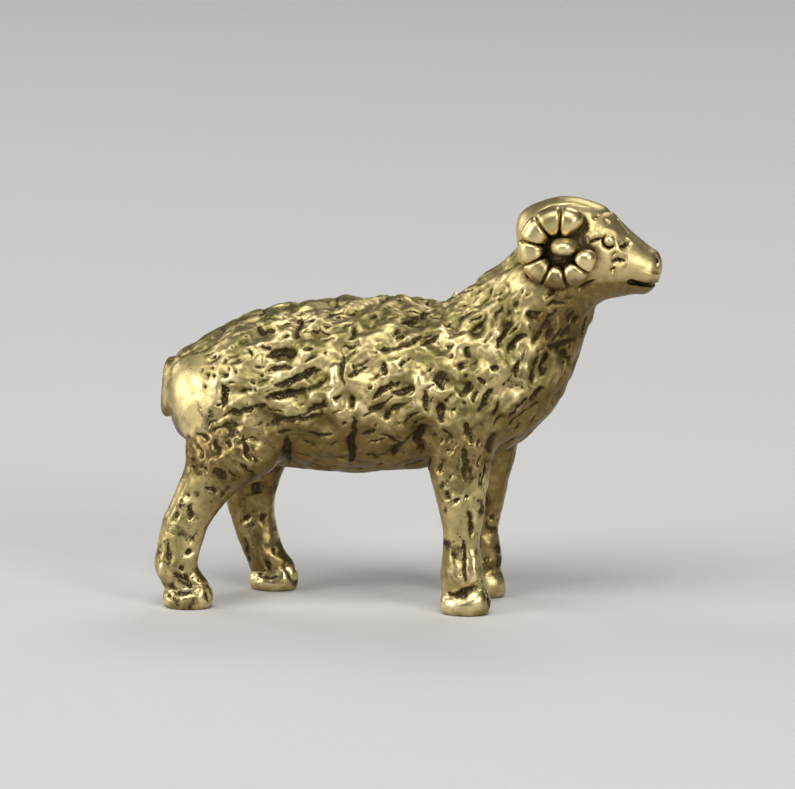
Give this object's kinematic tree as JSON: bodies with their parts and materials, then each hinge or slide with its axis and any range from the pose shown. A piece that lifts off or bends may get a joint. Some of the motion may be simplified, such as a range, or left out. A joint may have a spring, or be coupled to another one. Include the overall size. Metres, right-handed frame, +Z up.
{
  "type": "sheep figurine",
  "caption": "Small standing ram in antique-finished solid brass, with carved fleece, ribbed curled horns and cloven hooves, for a desk, shelf or tea tray.",
  "frame": {"origin": "on the ground, under the middle of the figure's length and on its middle plane", "axes": "+X toward the face, +Y to the ram's left, +Z up"},
  "size_m": [0.0414, 0.0133, 0.034],
  "materials": {
    "fleece_brass": "antiqued: dark brown in the carved hollows, olive between, worn to bright gold on the locks",
    "face_brass": "antiqued and rubbed bright, dark only in the creases",
    "horn_brass": "antiqued, bright ridges and dark grooves",
    "leg_brass": "antiqued and rubbed bright, with dark casting pits and dark coronets"
  },
  "bodies": {
    "root": {"torso": "fleece_brass", "neck": "fleece_brass", "tail": "fleece_brass", "head": "face_brass", "right_ear": "face_brass", "left_ear": "face_brass", "right_eye": "face_brass", "left_eye": "face_brass", "right_horn": "horn_brass", "left_horn": "horn_brass", "right_foreleg": "leg_brass", "right_hindleg": "leg_brass", "left_foreleg": "leg_brass", "left_hindleg": "leg_brass", "right_fore_hoof": "leg_brass", "right_hind_hoof": "leg_brass", "left_fore_hoof": "leg_brass", "left_hind_hoof": "leg_brass"}
  },
  "joints": []
}
